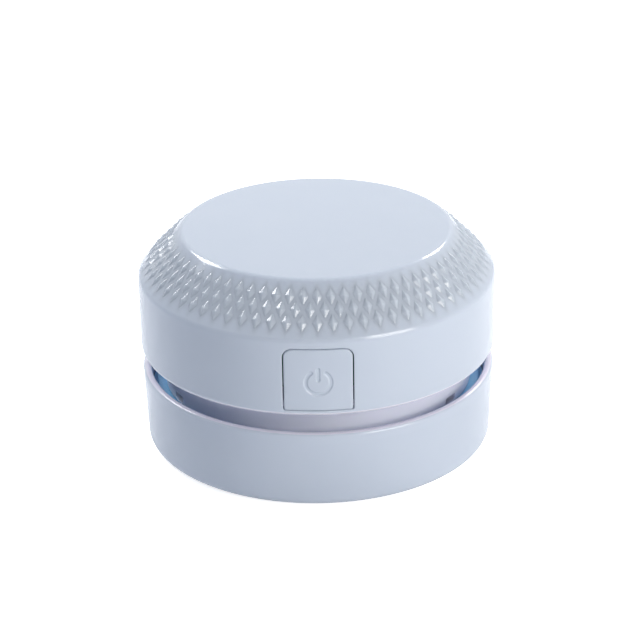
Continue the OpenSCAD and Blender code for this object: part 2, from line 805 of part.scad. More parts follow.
module charge_board() color("#2E7D5B") {
    difference() {
        union() {
            translate([-charge_board_w / 2, charge_board_y - charge_board_l, charge_board_z])
                cube([charge_board_w, charge_board_l, board_t]);
            // Charging chip, coil and two capacitors
            translate([-2.5, charge_post_y + 1, charge_board_z]) cube([5, 4, board_t + 1.1]);
            for (s = [-1, 1]) translate([s * 6 - 0.8, charge_post_y + 5, charge_board_z])
                cube([1.6, 3, board_t + 0.9]);
        }
        for (s = [-1, 1]) translate([s * charge_post_x, charge_post_y, charge_board_z - 1])
            cylinder(r = screw_r + seat_gap, h = board_t + 2);
    }
}

module board_screws() color("#C9CCD0") {
    for (s = [-1, 1])
        translate([s * charge_post_x, charge_post_y, charge_board_z + board_t]) pan_screw(board_t + 2);
}

module charge_socket() color("#BFC3C8") {
    difference() {
        through(socket_y - socket_l, socket_y) socket_outline(socket_w, socket_h, socket_z);
        through(socket_y - socket_l + 1, socket_y + 1)
            socket_outline(socket_w - 0.6, socket_h - 0.6, socket_z);
    }
}

module socket_tongue() color("#222426") {
    translate([-socket_w / 2 + 1.1, socket_y - socket_l + 1, socket_z - 0.35])
        cube([socket_w - 2.2, 5.4, 0.7]);
}

module control_board() color("#2E7D5B") {
    translate([-board_w / 2, board_y, deck_top]) cube([board_w, board_t, board_h]);
    // Control chip and two capacitors on the back
    translate([-2.5, board_y, deck_top + 8]) cube([5, board_t + 1, 4]);
    for (x = [4, 8]) translate([x, board_y, deck_top + 3]) cube([1.6, board_t + 0.9, 3]);
}

module tact_switch() color("#2B2D30") {
    difference() {
        translate([-switch_w / 2, switch_y, button_z - switch_w / 2]) cube([switch_w, switch_d, switch_w]);
        through(switch_y - 1, switch_y + plunger_l + 0.5)
            translate([0, button_z]) circle(r = plunger_r + run_gap);
    }
}

module switch_plunger() color("#D8D2C4") {
    through(stem_end_y, stem_end_y + plunger_l) translate([0, button_z]) circle(r = plunger_r);
}

module button_guide() color("#D5DAE0") {
    difference() {
        union() {
            translate([-guide_w / 2, guide_y, deck_top]) cube([guide_w, guide_t, button_z + 4 - deck_top]);
            // Feet that hold the plate upright on the deck
            for (s = [-1, 1])
                translate([s * (guide_w / 2 - 0.8) - 0.8, guide_y, deck_top]) cube([1.6, 4.2, 3]);
        }
        through(guide_y - 1, guide_y + guide_t + 1) translate([0, button_z]) circle(r = stem_r + run_gap);
    }
}

module symbol() {
    r = symbol_d / 2;
    difference() {
        circle(r = r);
        circle(r = r - symbol_w);
        polygon([[0, 0], [-r, 1.75 * r], [r, 1.75 * r]]);
    }
    translate([-symbol_w / 2, r * 0.05]) square([symbol_w, r * 1.05]);
}

module power_button() color("#C6D4E2") {
    difference() {
        intersection() {
            ring(body_r - button_t, body_r, lip_z, top_z);
            through(-body_r - 1, -shell_in_r + cut_in) window_outline(button_gap, button_gap / 2);
        }
        intersection() {
            ring(body_r - symbol_depth, body_r + 1, lip_z, top_z);
            through(-body_r - 1, -body_r + 3) translate([0, button_z - 0.6]) symbol();
        }
    }
    // Rib that keeps the button behind its window, joined to the face
    intersection() {
        ring(flange_r - flange_t, flange_r, flange_low_z, top_z);
        through(-body_r, guide_y - 0.2) window_outline(-flange_w, flange_low_z - lip_z - lip_r);
    }
    intersection() {
        ring(flange_r - flange_t, body_r - 0.4, flange_low_z, top_z);
        through(-body_r, guide_y - 0.2) window_outline(1.2, flange_low_z - lip_z - lip_r);
    }
    through(-flange_r, stem_end_y) translate([0, button_z]) circle(r = stem_r);
}

// ---------- wires ----------

// Every wire's way is tied to the two pieces that it joins, and ends at a soldered joint just off their faces
solder = 0.3;

module motor_leads() color("#C23B35") {
    z = motor_top + 1.85;
    end_y = board_y + board_t + solder;
    tab_y = motor_flat / 2 + 2.7;
    wire([[0, -tab_y, z], [-1, -tab_y - 2.6, z], [-3, end_y + 13, z - 2], [-5, end_y + 9, z - 5],
          [-6, end_y + 5, z - 7], [-6, end_y, z - 8]]);
    wire([[0, tab_y, z], [-2, tab_y + 2.1, z], [-7, tab_y + 2.1, z - 1], [-12, 8, z - 2], [-14, 1, z - 3],
          [-13, -8, z - 4], [-11, end_y + 14, z - 6], [-9.5, end_y + 8, z - 8], [-9.5, end_y, z - 9]]);
}

module battery_leads() color("#C23B35") {
    x = tray_x + 3;
    y = battery_l / 2 + solder;
    z = deck_top + tray_t + battery_w - 2;
    end_z = charge_board_z + board_t + wire_r + solder;
    end_y = charge_board_y - 9.4;
    drop = z - end_z;
    aside = [[-1.6, 0, 0], [-1.6, 0, 0], [-1.7, -0.6, 0], [-1.2, -1.4, 0], [-1, -1.5, 0], [-0.7, -1.7, 0]];
    for (s = [0, 1]) wire([[x, y, z], [x - 0.5, y + 2.4, z - 0.04 * drop], [x - 1.6, y + 4.8, z - 0.2 * drop],
        [x - 3.3, end_y - 6, z - 0.5 * drop], [x - 5.9, end_y - 3.4, end_z + 0.16 * drop],
        [8.1, end_y, end_z]] + s * aside);
}

module link_leads() color("#2F3236") {
    z = deck_top + 2;
    start_z = charge_board_z + board_t + wire_r + solder;
    start_y = charge_board_y - 10;
    end_y = board_y + board_t + solder;
    way = [[-11, start_y - 2.4], [-15, start_y - 8.4], [-18, 12],
        [-18.5, 2], [-17.5, -8], [-13.5, end_y + 13], [-9, end_y + 7]];
    for (s = [0, 1]) wire([[-7.4, start_y + 1.8 * s, start_z],
        for (p = way) let (out = 1 + 0.1 * s) [p[0] * out, p[1] * out, z],
        [-5 - 2.4 * s, end_y + 3, z + 1.5], [-5 - 2.4 * s, end_y, z + 3]]);
}

dust_cup();
lock_collar();
inlet_duct();
duct_screws();
brush_ring();
foot_pads();
seal_ring();
top_shell();
neck_frame();
housing_screws();
fan_shroud();
shroud_screws();
filter_frame();
filter_media();
motor_can();
motor_magnets();
motor_end_cap();
motor_terminals();
motor_damper();
motor_pad();
battery_tray();
battery_cell();
tray_screws();
charge_board();
board_screws();
charge_socket();
socket_tongue();
control_board();
tact_switch();
button_guide();
motor_leads();
battery_leads();
link_leads();
motor_shaft();
armature_core();
armature_coils();
impeller();
power_button();
switch_plunger();
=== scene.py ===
"""Looks of a round desktop vacuum cleaner: a gloss ABS head with a knurled bevel, twisted onto a dust cup."""
import json
import math

import bmesh
import bpy
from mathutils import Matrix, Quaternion, Vector


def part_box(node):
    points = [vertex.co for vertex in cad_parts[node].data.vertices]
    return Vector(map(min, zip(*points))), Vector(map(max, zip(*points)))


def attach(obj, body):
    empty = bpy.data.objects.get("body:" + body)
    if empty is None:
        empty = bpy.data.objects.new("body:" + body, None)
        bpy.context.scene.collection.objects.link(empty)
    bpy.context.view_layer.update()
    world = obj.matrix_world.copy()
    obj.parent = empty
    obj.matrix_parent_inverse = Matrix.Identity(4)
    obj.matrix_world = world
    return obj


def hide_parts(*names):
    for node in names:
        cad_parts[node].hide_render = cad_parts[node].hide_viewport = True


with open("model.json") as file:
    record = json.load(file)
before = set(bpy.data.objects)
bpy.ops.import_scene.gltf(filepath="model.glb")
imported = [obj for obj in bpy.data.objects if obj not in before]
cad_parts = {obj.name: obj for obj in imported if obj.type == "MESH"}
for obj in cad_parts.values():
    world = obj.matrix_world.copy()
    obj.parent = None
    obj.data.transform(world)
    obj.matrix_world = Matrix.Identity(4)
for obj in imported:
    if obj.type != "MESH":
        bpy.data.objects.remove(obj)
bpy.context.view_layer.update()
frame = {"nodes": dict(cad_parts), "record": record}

# ---------- sizes, in millimetres ----------

MM = 0.001


def box_mm(node):
    """A CAD node's lowest and highest corner, in millimetres."""
    low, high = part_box(node)
    return low / MM, high / MM


# Angles of the front and the back, in degrees from the X axis
FRONT = 270.0
BACK = 90.0

# Head: the shell's outer side, from the lip up to the flat top
shell_low, shell_high = box_mm("top_shell")
body_r = shell_high.x
lip_z = shell_low.z
top_z = shell_high.z
bevel_h = 10.5
corner_z = top_z - bevel_h
shell_t = 1.8
top_t = 2.0
lip_r = 1.5
shoulder_r = 2.0
top_r = 2.0
shell_in_r = body_r - shell_t

# Knurl: rows of diamonds down the bevel
knurl_count = 72
knurl_rows = 3
knurl_start = 4.2
knurl_pitch = 3.2
knurl_w = 2.3
knurl_l = 4.6
knurl_h = 0.5

# Button and its window
window_w = 16.0
window_h = 15.3
window_r = 2.3
window_low = lip_z + lip_r
button_gap = 0.25
button_t = 1.6
button_edge = 0.3
window_span = 28.0
stem_r = 2.0
stem_l = 5.0

# Power symbol in the button's face: a ring open at the top, and a bar
symbol_r = 3.4
symbol_w = 1.1
symbol_depth = 0.25
symbol_slope = 0.6
symbol_gap = 35.0
symbol_z = window_low + window_h / 2 - 0.6
bar_low = 0.6
bar_high = symbol_r * 1.1

# Dust cup
cup_low, cup_high = box_mm("dust_cup")
rim_r = cup_high.x
cup_z = cup_low.z
rim_z = cup_high.z
cup_draft = 0.6
cup_t = 2.0
cup_r = 1.8
foot_r = rim_r - cup_draft
cup_in_r = rim_r - cup_t
floor_z = cup_z + 1.8
floor_top = floor_z + 1.6
foot_ring_w = 5.7
foot_pad_w = 2.4
foot_arc = 26.0
foot_count = 4
inner_edge = 1.5
duct_r = 9.0
duct_t = 1.2

# Waist: collar, seal, neck and the deck over them
neck_r = body_r - 5.5
neck_t = 1.6
plug_r = neck_r - 1.4
lug_w = 1.35
lug_arc = 20.0
rib_arc = 27.0
lug_middle = -33.0
thread_lead = 24.0
thread_t = 0.9
move_gap = 0.3
collar_low, collar_high = box_mm("lock_collar")
seal_low, seal_high = box_mm("seal_ring")
neck_low = box_mm("neck_frame")[0]
neck_step_z = seal_high.z + move_gap / 2
deck_z = lip_z + 0.4
deck_top = deck_z + 2.0
deck_hole_r = 3.2
pocket_w = window_w + 6.0
pocket_depth = 2.4

# Outlet slots at the back of the neck, and the windows over two of the lugs
slot_count = 19
slot_step = 7.0
slot_w = 2.2
slot_rise = 2.6
slot_drop = 1.4
slot_edge = 0.12
lug_count = 3
lug_play = 2.0
lug_window_w = 4.2
lug_window_low = 0.75
lug_window_high = 2.3
lug_window_span = 10.0

# Charging socket's cut-out at the back
socket_low, socket_high = box_mm("charge_socket")
socket_z = (socket_low.z + socket_high.z) / 2
socket_gap = 0.5
socket_span = 18.0

# Brush
brush_at = 19.8
brush_w = 3.0
brush_sunk = 0.8
strip_count = 4
strip_arc = 84.0
tuft_count = 10
tuft_stagger = 0.8
tuft_r = 0.45
hair_count = 18
hair_root_r = 0.075
hair_tip_r = 0.055
hair_lean = 0.14

# ---------- colours, nodes and finishes ----------


def colour(code, alpha=1.0):
    """An sRGB hex value as a linear colour."""
    parts = [int(code[i:i + 2], 16) / 255 for i in (1, 3, 5)]
    return [p / 12.92 if p <= 0.04045 else ((p + 0.055) / 1.055) ** 2.4 for p in parts] + [alpha]


def add(tree, kind, settings=None, inputs=None):
    """Adds a node. settings holds its properties; inputs holds values, or sockets to link, by name or number."""
    made = tree.nodes.new(kind)
    for name, value in (settings or {}).items():
        setattr(made, name, value)
    for name, value in (inputs or {}).items():
        if isinstance(value, bpy.types.NodeSocket):
            tree.links.new(value, made.inputs[name])
        else:
            made.inputs[name].default_value = value
    return made


def calc(tree, operation, first, second=0.0):
    """The result of one sum on two values or sockets."""
    return add(tree, "ShaderNodeMath", {"operation": operation}, {0: first, 1: second}).outputs[0]


def per_mm(size):
    """Texture scale on Object coordinates for a pattern of that size in millimetres."""
    return 1 / (size * MM)


def start_finish(name):
    """A new material: itself, its tree, its shader and its Object coordinates."""
    made = bpy.data.materials.new(name)
    made.use_nodes = True
    tree = made.node_tree
    tree.nodes.clear()
    shader = add(tree, "ShaderNodeBsdfPrincipled")
    add(tree, "ShaderNodeOutputMaterial", inputs={"Surface": shader.outputs["BSDF"]})
    place = add(tree, "ShaderNodeTexCoord").outputs["Object"]
    return made, tree, shader, place


def blend_colours(tree, share, first, second):
    """A colour between two, by a socket's value."""
    made = add(tree, "ShaderNodeMix", {"data_type": "RGBA"}, {0: share, 6: colour(first), 7: colour(second)})
    return made.outputs[2]


def in_range(tree, value, low, high):
    """A noise value, spread from its usual 0.3..0.7 to low..high."""
    made = add(tree, "ShaderNodeMapRange", inputs={
        "Value": value, "From Min": 0.3, "From Max": 0.7, "To Min": low, "To Max": high})
    return made.outputs["Result"]


def pressed(tree, height, depth_um):
    """A normal that makes a socket's value stand out by that many micrometres."""
    return add(tree, "ShaderNodeBump", inputs={
        "Strength": 1.0, "Distance": depth_um * 1e-6, "Height": height}).outputs["Normal"]


def moulded(name, base, shade, rough, cloud_mm, grain_mm, grain_um, ior=1.5, milky=0.0, edge=None):
    """Moulded plastic or rubber: cloudy colour a few millimetres wide, and a grain pressed in by the mould.
    milky is the share of light that wanders through it. edge is the colour of a painted highlight on its slender
    edges at the waist."""
    made, tree, shader, place = start_finish(name)
    cloud = add(tree, "ShaderNodeTexNoise", inputs={"Vector": place, "Scale": per_mm(cloud_mm), "Detail": 2.0})
    grain = add(tree, "ShaderNodeTexNoise", inputs={"Vector": place, "Scale": per_mm(grain_mm), "Detail": 3.0})
    tone = blend_colours(tree, cloud.outputs["Fac"], base, shade)
    # Painted highlight: the edge colour, lighter than the plastic, over a band of heights at the cup's rim and the
    # head's lip
    if edge:
        height = add(tree, "ShaderNodeSeparateXYZ", inputs={0: place}).outputs["Z"]
        off = calc(tree, "ABSOLUTE", calc(tree, "SUBTRACT", height, (PAINTED_HIGHLIGHT_LOW + PAINTED_HIGHLIGHT_HIGH) / 2))
        half = (PAINTED_HIGHLIGHT_HIGH - PAINTED_HIGHLIGHT_LOW) / 2
        highlight_share = add(tree, "ShaderNodeMapRange", inputs={"Value": off, "From Min": half + 0.1 * MM, "From Max": half})
        tone = add(tree, "ShaderNodeMix", {"data_type": "RGBA"}, {
            0: highlight_share.outputs["Result"], 6: tone, 7: colour(edge)}).outputs[2]
    tree.links.new(tone, shader.inputs["Base Color"])
    tree.links.new(in_range(tree, grain.outputs["Fac"], rough - 0.03, rough + 0.03), shader.inputs["Roughness"])
    tree.links.new(pressed(tree, grain.outputs["Fac"], grain_um), shader.inputs["Normal"])
    shader.inputs["IOR"].default_value = ior
    shader.inputs["Subsurface Weight"].default_value = milky
    shader.inputs["Subsurface Radius"].default_value = (1.0, 0.9, 1.0)
    shader.inputs["Subsurface Scale"].default_value = 2.5 * MM
    return made


def plated(name, base, shade, rough, stain_mm, streak_mm, streak_um):
    """Metal: stains of a slightly other tone, and streaks left by tool or bath, drawn along Z."""
    made, tree, shader, place = start_finish(name)
    stain = add(tree, "ShaderNodeTexNoise", inputs={"Vector": place, "Scale": per_mm(stain_mm), "Detail": 4.0})
    drawn = add(tree, "ShaderNodeMapping", inputs={"Vector": place, "Scale": (1.0, 1.0, 0.12)})
    streak = add(tree, "ShaderNodeTexNoise", inputs={
        "Vector": drawn.outputs["Vector"], "Scale": per_mm(streak_mm), "Detail": 2.0})
    tree.links.new(blend_colours(tree, stain.outputs["Fac"], base, shade), shader.inputs["Base Color"])
    tree.links.new(in_range(tree, streak.outputs["Fac"], rough - 0.06, rough + 0.08), shader.inputs["Roughness"])
    tree.links.new(pressed(tree, streak.outputs["Fac"], streak_um), shader.inputs["Normal"])
    shader.inputs["Metallic"].default_value = 1.0
    return made


def banded(name, base, gap, rough, band_mm, depth_um, direction, metallic):
    """Stacked sheets or wound wire: rounded bands of one width with dark lines between them."""
    made, tree, shader, place = start_finish(name)
    bands = add(tree, "ShaderNodeTexWave", {"wave_type": "BANDS", "bands_direction": direction}, {
        "Vector": place, "Scale": per_mm(band_mm) * math.pi / 10, "Distortion": 0.3, "Detail Scale": 2.0})
    tree.links.new(blend_colours(tree, bands.outputs["Fac"], gap, base), shader.inputs["Base Color"])
    tree.links.new(pressed(tree, bands.outputs["Fac"], depth_um), shader.inputs["Normal"])
    shader.inputs["Roughness"].default_value = rough
    shader.inputs["Metallic"].default_value = metallic
    return made


def celled(name, base, shade, rough, cell_mm, depth_um):
    """Foam, felt or sinter: rounded cells or fibres side by side, matt."""
    made, tree, shader, place = start_finish(name)
    cells = add(tree, "ShaderNodeTexVoronoi", inputs={"Vector": place, "Scale": per_mm(cell_mm)})
    fuzz = add(tree, "ShaderNodeTexNoise", inputs={"Vector": place, "Scale": per_mm(cell_mm / 3), "Detail": 3.0})
    both = add(tree, "ShaderNodeMath", {"operation": "MULTIPLY_ADD"}, {
        0: cells.outputs["Distance"], 1: 0.6, 2: fuzz.outputs["Fac"]})
    tree.links.new(blend_colours(tree, cells.outputs["Distance"], base, shade), shader.inputs["Base Color"])
    tree.links.new(pressed(tree, both.outputs["Value"], depth_um), shader.inputs["Normal"])
    shader.inputs["Roughness"].default_value = rough
    return made


def solder_mask():
    """Green solder mask on glass epoxy: gloss green, with copper tracks showing as a lighter green."""
    made, tree, shader, place = start_finish("solder_mask_epoxy")
    tracks = add(tree, "ShaderNodeTexBrick", {"offset": 0.5}, {
        "Vector": place, "Scale": per_mm(1.0), "Mortar Size": 0.14, "Brick Width": 2.6, "Row Height": 1.1,
        "Color1": colour("#1F6B47"), "Color2": colour("#1B6342"), "Mortar": colour("#37895F")})
    tree.links.new(tracks.outputs["Color"], shader.inputs["Base Color"])
    tree.links.new(pressed(tree, tracks.outputs["Fac"], 20), shader.inputs["Normal"])
    shader.inputs["Roughness"].default_value = 0.3
    return made


# Between these heights lie only the cup's rim and the head's lip, where the moulding is thin; both get a painted
# highlight there, a lighter colour standing in for the light they catch
PAINTED_HIGHLIGHT_LOW = (rim_z - 0.15) * MM
PAINTED_HIGHLIGHT_HIGH = (lip_z + 0.9) * MM

# One finish for each material slot of the record
FINISHES = {
    # Polished steel mould: smooth gloss with a hint of waviness
    # The edge colour #E9E6F0 is a painted highlight on the cup's rim and the head's lip
    "housing_abs": moulded("polished_blue_abs", "#CCD4DF", "#C8D1DD", 0.16, 14, 2.5, 0.8, milky=0.25, edge="#E9E6F0"),
    # Fine satin, more violet than the housing
    "neck_abs": moulded("satin_lilac_abs", "#ECEDFE", "#E7E7FC", 0.22, 9, 0.6, 4, milky=0.7),
    # Dyed in the mass, satin
    "collar_abs": moulded("satin_sky_blue_abs", "#93CDF5", "#8AC6F0", 0.36, 8, 0.6, 4, milky=0.5),
    # Inside pieces keep the mould's spark-eroded texture
    "inner_abs": moulded("spark_textured_abs", "#D3D9DF", "#C9D0D7", 0.48, 7, 0.35, 12),
    "seal_silicone": moulded("sky_blue_silicone", "#93CDF5", "#8AC6F0", 0.4, 5, 0.4, 8, 1.41, 0.5),
    "foot_rubber": moulded("black_rubber", "#4A5561", "#424C57", 0.75, 3, 0.25, 25, 1.52),
    "brush_nylon": moulded("drawn_nylon_bristle", "#39424E", "#2C343E", 0.38, 0.6, 0.2, 6, 1.53),
    "motor_nylon": moulded("white_nylon", "#EEEEE9", "#E4E4DE", 0.45, 4, 0.3, 10, 1.53),
    "switch_plastic": moulded("black_plastic", "#2B2D30", "#232528", 0.42, 3, 0.25, 10),
    "wire_pvc": moulded("red_pvc", "#C13A34", "#B5322C", 0.35, 2, 0.3, 6, 1.53),
    "wire_dark": moulded("dark_pvc", "#303338", "#292C30", 0.35, 2, 0.3, 6, 1.53),
    "filter_felt": celled("needled_felt", "#F3F3EE", "#DCDCD5", 0.95, 0.5, 160),
    "foam": celled("closed_cell_foam", "#474C53", "#2E3238", 0.9, 0.45, 120),
    "magnet_ferrite": celled("sintered_ferrite", "#4A4A4E", "#3B3B3F", 0.7, 0.3, 20),
    "zinc_steel": plated("zinc_plated_steel", "#C6C9CC", "#B4B8C0", 0.32, 1.2, 0.25, 6),
    "ground_steel": plated("ground_steel", "#D8DADC", "#CBCED2", 0.2, 2.5, 0.12, 3),
    "terminal_brass": plated("stamped_brass", "#C89A55", "#B98845", 0.3, 1.5, 0.3, 6),
    "socket_steel": plated("nickel_plated_steel", "#C9CCD0", "#BBBFC4", 0.24, 1.5, 0.2, 4),
    "cell_foil": plated("laminated_foil", "#AEBFCC", "#98AAB9", 0.3, 3.0, 1.4, 90),
    "lamination_steel": banded("stacked_laminations", "#9A9EA3", "#4C4F53", 0.42, 0.35, 25, "Z", 1.0),
    "copper_wire": banded("enamelled_copper_wire", "#C9743A", "#5E2F16", 0.3, 0.3, 60, "Z", 1.0),
    "board_epoxy": solder_mask(),
}

# ---------- making meshes ----------


class Surface:
    """Corners, in millimetres, and faces of one piece. Its sheets meet at the same corners, which are merged."""

    def __init__(self):
        self.corners = []
        self.faces = []

    def sheet(self, rows, wrap=True):
        """Quads between rows of corners. wrap joins each row's end to its start."""
        first = len(self.corners)
        width = len(rows[0])
        for row in rows:
            self.corners.extend(row)
        for i in range(len(rows) - 1):
            for j in range(width if wrap else width - 1):
                a = first + i * width + j
                b = first + i * width + (j + 1) % width
                self.faces.append((a, b, b + width, a + width))

    def cap(self, corners):
        """One flat face."""
        first = len(self.corners)
        self.corners.extend(corners)
        self.faces.append(tuple(range(first, first + len(corners))))

    def piece(self, name, slot, crease=38.0):
        """The finished piece, with its place in its mesh. Edges sharper than crease, in degrees, stay sharp."""
        mesh = bpy.data.meshes.new(name)
        mesh.from_pydata([Vector(c) * MM for c in self.corners], [], self.faces)
        work = bmesh.new()
        work.from_mesh(mesh)
        bmesh.ops.remove_doubles(work, verts=work.verts, dist=0.002 * MM)
        bmesh.ops.dissolve_degenerate(work, edges=work.edges, dist=0.001 * MM)
        bmesh.ops.recalc_face_normals(work, faces=work.faces)
        work.to_mesh(mesh)
        work.free()
        mesh.materials.append(FINISHES[slot])
        mesh.shade_smooth()
        mesh.set_sharp_from_angle(angle=math.radians(crease))
        made = bpy.data.objects.new(name, mesh)
        bpy.context.scene.collection.objects.link(made)
        return made


def arc(x, z, r, start, end, steps=6):
    """Points on an arc about (x, z), between two angles in degrees."""
    turns = [math.radians(start + (end - start) * i / steps) for i in range(steps + 1)]
    return [(x + r * math.cos(t), z + r * math.sin(t)) for t in turns]


def line(first, last, steps):
    """Evenly spaced numbers from first to last."""
    return [first + (last - first) * i / steps for i in range(steps + 1)]


def polar(r, angle, z):
    """The point at a radius, an angle in degrees and a height."""
    t = math.radians(angle)
    return (r * math.cos(t), r * math.sin(t), z)


def turned(surface, outline, angles):
    """Turns a line of (radius, height) points once around the Z axis."""
    surface.sheet([[polar(r, a, z) for a in angles] for r, z in outline])


def swept(surface, section, start, end, steps, rise=0.0):
    """Turns a closed section part of the way round, climbing by rise for each full turn, and caps its ends."""
    rows = []
    for a in line(start, end, steps):
        lift = rise * (a - start) / 360
        rows.append([polar(r, a, z + lift) for r, z in section])
    surface.sheet(rows)
    surface.cap(rows[0])
    surface.cap(list(reversed(rows[-1])))


def rounded_section(r0, r1, z0, z1, edge):
    """A rectangle in radius and height with rounded corners."""
    return (arc(r1 - edge, z0 + edge, edge, -90, 0, 3) + arc(r1 - edge, z1 - edge, edge, 0, 90, 3)
            + arc(r0 + edge, z1 - edge, edge, 90, 180, 3) + arc(r0 + edge, z0 + edge, edge, 180, 270, 3))


def rounded_box(half_w, low, high, top_edge, low_edge, grow):
    """Outline of a box with rounded corners, grown all round, as (x, z) points."""
    w = half_w + grow
    top = top_edge + grow
    foot = low_edge + grow
    return (arc(w - foot, low - grow + foot, foot, -90, 0) + arc(w - top, high + grow - top, top, 0, 90)
            + arc(top - w, high + grow - top, top, 90, 180) + arc(foot - w, low - grow + foot, foot, 180, 270))


def leave(outline, centre, toward):
    """Where a ray from the centre leaves a convex outline."""
    dx = toward[0] - centre[0]
    dz = toward[1] - centre[1]
    for (x0, z0), (x1, z1) in zip(outline, outline[1:] + outline[:1]):
        ex = x1 - x0
        ez = z1 - z0
        cross = dx * ez - dz * ex
        if abs(cross) < 1e-12:
            continue
        along = ((x0 - centre[0]) * ez - (z0 - centre[1]) * ex) / cross
        side = ((x0 - centre[0]) * dz - (z0 - centre[1]) * dx) / cross
        if along > 0 and -1e-9 <= side <= 1 + 1e-9:
            return (centre[0] + along * dx, centre[1] + along * dz)
    raise ValueError("the outline doesn't go round its centre")


def wall_point(middle, x, z, r):
    """A point on a cylinder, at x to the side of the line through the angle middle."""
    t = math.radians(middle)
    out = math.sqrt(r * r - x * x)
    return (out * math.cos(t) - x * math.sin(t), out * math.sin(t) + x * math.cos(t), z)


def pierced(surface, middle, angles, heights, outer_r, inner_r, outline, edge):
    """A stretch of wall with one opening. outline(grow) is the opening seen square on, outer_r(z) the outside."""
    border = [(a, heights[0]) for a in angles[:-1]] + [(angles[-1], z) for z in heights[:-1]]
    border += [(a, heights[-1]) for a in angles[:0:-1]] + [(angles[0], z) for z in heights[:0:-1]]
    flat = outline(0)
    centre = (0.0, (min(z for x, z in flat) + max(z for x, z in flat)) / 2)

    def rim(skin, grow):
        grown = outline(grow)
        ends = [(skin(z) * math.sin(math.radians(a - middle)), z) for a, z in border]
        return ends, [leave(grown, centre, p) for p in ends]

    def stretch(skin, grow, shares):
        ends, hole = rim(skin, grow)
        return [[(p[0] + (q[0] - p[0]) * s, p[1] + (q[1] - p[1]) * s) for p, q in zip(ends, hole)] for s in shares]

    rows = [[wall_point(middle, x, z, outer_r(z)) for x, z in row] for row in stretch(outer_r, edge, line(0, 1, 4))]
    for t in (30, 60, 90):
        turn = math.radians(t)
        ends, hole = rim(outer_r, edge * (1 - math.sin(turn)))
        sunk = edge * (1 - math.cos(turn))
        rows.append([wall_point(middle, x, z, outer_r(z) - sunk) for x, z in hole])
    ends, through = rim(outer_r, 0)
    rows.append([wall_point(middle, x, z, inner_r) for x, z in through])
    inside = [(inner_r * math.sin(math.radians(a - middle)), z) for a, z in border]
    for s in line(0, 1, 3)[1:]:
        rows.append([wall_point(middle, q[0] + (p[0] - q[0]) * s, q[1] + (p[1] - q[1]) * s, inner_r)
                     for p, q in zip(inside, through)])
    surface.sheet(rows)


def wall(surface, angles, heights, outer_r, inner_r, openings):
    """A round wall between the first and last height. Each opening is (middle, half its span, outline, edge)."""
    taken = set()
    for middle, half, outline, edge in openings:
        span = [a for a in angles if abs((a - middle + 180) % 360 - 180) <= half + 1e-6]
        span = sorted((a - middle + 180) % 360 - 180 + middle for a in span)
        pierced(surface, middle, span, heights, outer_r, inner_r, outline, edge)
        taken.update(round(a % 360, 4) for a in span[:-1])
    for i, a in enumerate(angles):
        if round(a % 360, 4) in taken:
            continue
        pair = (a, angles[(i + 1) % len(angles)])
        surface.sheet([[polar(outer_r(z), b, z) for b in pair] for z in heights], wrap=False)
        surface.sheet([[polar(inner_r, b, z) for b in pair] for z in heights], wrap=False)


def grown(piece, name, sizes, build):
    """Runs a Geometry Nodes tree on a piece's mesh and keeps the plain mesh that it makes."""
    tree = bpy.data.node_groups.new(name, "GeometryNodeTree")
    tree.interface.new_socket("Geometry", in_out="INPUT", socket_type="NodeSocketGeometry")
    tree.interface.new_socket("Geometry", in_out="OUTPUT", socket_type="NodeSocketGeometry")
    kinds = {int: "NodeSocketInt", float: "NodeSocketFloat", bpy.types.Object: "NodeSocketObject"}
    for key, value in sizes.items():
        tree.interface.new_socket(key, in_out="INPUT", socket_type=kinds[type(value)])
    given = add(tree, "NodeGroupInput")
    add(tree, "NodeGroupOutput", inputs={"Geometry": build(tree, given.outputs)})
    modifier = piece.modifiers.new(name, "NODES")
    modifier.node_group = tree
    for item in tree.interface.items_tree:
        if item.in_out == "INPUT" and item.name in sizes:
            modifier[item.identifier] = sizes[item.name]
    bpy.context.view_layer.update()
    mesh = bpy.data.meshes.new_from_object(piece.evaluated_get(bpy.context.evaluated_depsgraph_get()))
    piece.modifiers.remove(modifier)
    piece.data = mesh
    return piece


# ---------- head ----------

FINE = line(0, 360, 360)[:-1]
FINER = line(0, 360, 720)[:-1]


def shell_outside(z):
    """Outer radius of the shell's straight wall, with its rounded lip."""
    under = max(0.0, lip_z + lip_r - z)
    return body_r - lip_r + math.sqrt(lip_r * lip_r - under * under)


def window_outline(grow):
    """The button's window in the wall, as (x, z) points."""
    return rounded_box(window_w / 2, window_low, window_low + window_h, window_r, 0.3, grow)


def socket_outline(grow):
    """The charging socket's cut-out in the wall, as (x, z) points."""
    half_w = (socket_high.x - socket_low.x) / 2 + socket_gap
    half_h = (socket_high.z - socket_low.z) / 2 + socket_gap
    return rounded_box(half_w, socket_z - half_h, socket_z + half_h, half_h - 0.01, half_h - 0.01, grow)


def diamond():
    """One diamond of the knurl, lying in XY with its long way along X: a pyramid with its edges just broken."""
    sink = 0.3
    share = 1 + sink / knurl_h
    half_l = knurl_l / 2 * share
    half_w = knurl_w / 2 * share
    surface = Surface()
    base = [(half_l, 0, -sink), (0, half_w, -sink), (-half_l, 0, -sink), (0, -half_w, -sink)]
    tip = (0, 0, knurl_h)
    surface.cap(base[::-1])
    for a, b in zip(base, base[1:] + base[:1]):
        surface.cap([a, b, tip])
    made = surface.piece("knurl_diamond", "housing_abs", 10)
    bevel = made.modifiers.new("broken_edges", "BEVEL")
    bevel.width = 0.22 * MM
    bevel.segments = 3
    bevel.limit_method = "NONE"
    return made


